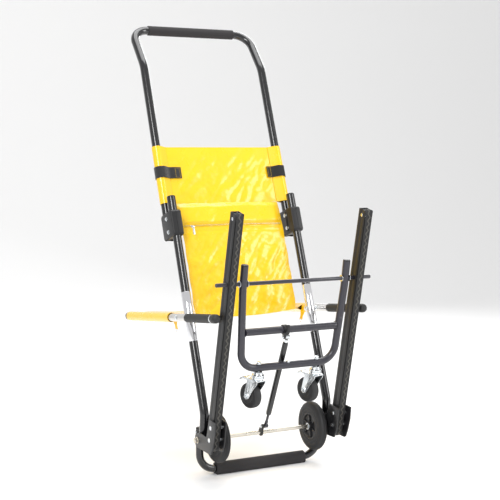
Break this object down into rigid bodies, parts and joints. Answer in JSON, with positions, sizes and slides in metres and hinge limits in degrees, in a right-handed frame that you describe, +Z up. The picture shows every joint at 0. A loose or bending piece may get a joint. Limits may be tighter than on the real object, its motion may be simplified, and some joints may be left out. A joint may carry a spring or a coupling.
{
  "type": "stair chair",
  "caption": "Folding stair evacuation chair: belt tracks, telescoping handle, coated-cloth seat and back, kickstand with castors, gas strut and wheels, standing on its foot bar.",
  "frame": {"origin": "middle of the flat under the foam foot bar, on the floor", "axes": "+X along the width, +Y towards the side the patient faces, +Z up"},
  "size_m": [0.517, 0.7831, 1.3767],
  "materials": {
    "black_tube": "gloss black powder coat",
    "chrome": "polished",
    "zinc": "bright zinc plate",
    "grey_paint": "satin dark blue-grey",
    "track_paint": "matte charcoal coat",
    "belt": "matte ribbed",
    "steel": "polished bare tube",
    "axle_steel": "bare turned",
    "plate": "satin black",
    "foam": "dense foam, matte",
    "yellow": "glossy coated cloth",
    "black_plastic": "satin moulded",
    "tyre": "matte",
    "hub": "satin moulded",
    "webbing": "woven hook-and-loop"
  },
  "bodies": {
    "track_frame": {"rail_left": "track_paint", "belt_left": "belt", "inner_plate_left": "plate", "outer_plate_left": "plate", "plate_bolt1_left": "zinc", "plate_bolt2_left": "zinc", "leg_bolt_left": "zinc", "axle_nut_left": "axle_steel", "rail_right": "track_paint", "belt_right": "belt", "inner_plate_right": "plate", "outer_plate_right": "plate", "plate_bolt1_right": "zinc", "plate_bolt2_right": "zinc", "leg_bolt_right": "zinc", "axle_nut_right": "axle_steel", "axle": "axle_steel", "kick_pivot_rod": "grey_paint", "foot_bar": "black_tube", "foot_foam": "foam", "strut_clamp": "black_plastic"},
    "back_frame": {"main_tube_left": "black_tube", "collar_left": "chrome", "clamp_left": "black_plastic", "seat_pivot_left": "zinc", "strap_left": "webbing", "main_tube_right": "black_tube", "collar_right": "chrome", "clamp_right": "black_plastic", "seat_pivot_right": "zinc", "strap_right": "webbing", "back_fabric": "yellow"},
    "handle": {"handle_tube": "black_tube", "handle_grip": "foam"},
    "seat": {"seat_arm_left": "steel", "arm_grip_left": "black_plastic", "arm_cap_left": "black_plastic", "seat_arm_right": "steel", "arm_grip_right": "black_plastic", "arm_cap_right": "black_plastic", "seat_fabric": "yellow"},
    "kickstand": {"kick_frame": "grey_paint", "strut_bracket": "black_plastic"},
    "strut_lower": {"strut_rod": "chrome"},
    "strut_upper": {"strut_cylinder": "black_tube"},
    "zip": {"zip_slider": "zinc"},
    "wheel_left": {"tyre_left": "tyre", "hub_left": "hub"},
    "castor_left": {"castor_fork_left": "zinc"},
    "castor_roll_left": {"castor_wheel_left": "tyre"},
    "pedal_left": {"castor_pedal_left": "black_plastic"},
    "roller_top_body_left": {"roller_top_left": "zinc"},
    "roller_foot_body_left": {"roller_foot_left": "zinc"},
    "wheel_right": {"tyre_right": "tyre", "hub_right": "hub"},
    "castor_right": {"castor_fork_right": "zinc"},
    "castor_roll_right": {"castor_wheel_right": "tyre"},
    "pedal_right": {"castor_pedal_right": "black_plastic"},
    "roller_top_body_right": {"roller_top_right": "zinc"},
    "roller_foot_body_right": {"roller_foot_right": "zinc"}
  },
  "joints": [
    {"name": "back_fold", "type": "hinge", "parent": "track_frame", "child": "back_frame", "pos_m": [0, -0.0375, 0.121], "axis": [1, 0, 0], "range_deg": [0, 18]},
    {"name": "handle_slide", "type": "slide", "parent": "back_frame", "child": "handle", "axis": [0, 0.347, 0.9379], "range_m": [-0.12, 0]},
    {"name": "seat_fold", "type": "hinge", "parent": "back_frame", "child": "seat", "pos_m": [0, 0.05557, 0.4735], "axis": [1, 0, 0], "range_deg": [0, 45]},
    {"name": "zip_slide", "type": "slide", "parent": "back_frame", "child": "zip", "axis": [1, 0, 0], "range_m": [0, 0.3]},
    {"name": "kick_swing", "type": "hinge", "parent": "track_frame", "child": "kickstand", "pos_m": [0, -0.213, 0.5976], "axis": [-1, 0, 0], "range_deg": [0, 35]},
    {"name": "strut_tilt", "type": "hinge", "parent": "track_frame", "child": "strut_lower", "pos_m": [-0.006, -0.04649, 0.14108], "axis": [1, 0, 0], "range_deg": [0, 12]},
    {"name": "strut_slide", "type": "slide", "parent": "strut_lower", "child": "strut_upper", "axis": [0, -0.4085, 0.9127], "range_m": [0, 0.046]},
    {"name": "wheel_spin_left", "type": "hinge", "parent": "track_frame", "child": "wheel_left", "pos_m": [-0.165, -0.0375, 0.121], "axis": [1, 0, 0], "continuous": true},
    {"name": "castor_swivel_left", "type": "hinge", "parent": "kickstand", "child": "castor_left", "pos_m": [-0.0965, -0.17015, 0.347], "axis": [0, -0.1686, 0.9857], "continuous": true},
    {"name": "castor_spin_left", "type": "hinge", "parent": "castor_left", "child": "castor_roll_left", "pos_m": [-0.10145, -0.13164, 0.25994], "axis": [0.9781, 0.2049, 0.035], "continuous": true},
    {"name": "pedal_press_left", "type": "hinge", "parent": "castor_left", "child": "pedal_left", "pos_m": [-0.10211, -0.13645, 0.3066], "axis": [-0.9781, -0.2049, -0.035], "range_deg": [0, 12]},
    {"name": "roller_top_spin_left", "type": "hinge", "parent": "track_frame", "child": "roller_top_body_left", "pos_m": [-0.21, -0.25869, 0.78399], "axis": [1, 0, 0], "continuous": true},
    {"name": "roller_foot_spin_left", "type": "hinge", "parent": "track_frame", "child": "roller_foot_body_left", "pos_m": [-0.21, -0.10363, 0.11708], "axis": [1, 0, 0], "continuous": true},
    {"name": "wheel_spin_right", "type": "hinge", "parent": "track_frame", "child": "wheel_right", "pos_m": [0.165, -0.0375, 0.121], "axis": [1, 0, 0], "continuous": true},
    {"name": "castor_swivel_right", "type": "hinge", "parent": "kickstand", "child": "castor_right", "pos_m": [0.0965, -0.17015, 0.347], "axis": [0, -0.1686, 0.9857], "continuous": true},
    {"name": "castor_spin_right", "type": "hinge", "parent": "castor_right", "child": "castor_roll_right", "pos_m": [0.09155, -0.13164, 0.25994], "axis": [0.9781, 0.2049, 0.035], "continuous": true},
    {"name": "pedal_press_right", "type": "hinge", "parent": "castor_right", "child": "pedal_right", "pos_m": [0.09089, -0.13645, 0.3066], "axis": [-0.9781, -0.2049, -0.035], "range_deg": [0, 12]},
    {"name": "roller_top_spin_right", "type": "hinge", "parent": "track_frame", "child": "roller_top_body_right", "pos_m": [0.21, -0.25869, 0.78399], "axis": [1, 0, 0], "continuous": true},
    {"name": "roller_foot_spin_right", "type": "hinge", "parent": "track_frame", "child": "roller_foot_body_right", "pos_m": [0.21, -0.10363, 0.11708], "axis": [1, 0, 0], "continuous": true}
  ],
  "couplings": [
    {"joint": "seat_fold", "follows": "back_fold", "ratio": 2.5},
    {"joint": "strut_tilt", "follows": "kick_swing", "ratio": 0.32},
    {"joint": "strut_slide", "follows": "kick_swing", "m_per_rad": 0.0737},
    {"joint": "roller_foot_spin_left", "follows": "roller_top_spin_left", "ratio": 1},
    {"joint": "roller_foot_spin_right", "follows": "roller_top_spin_right", "ratio": 1}
  ]
}
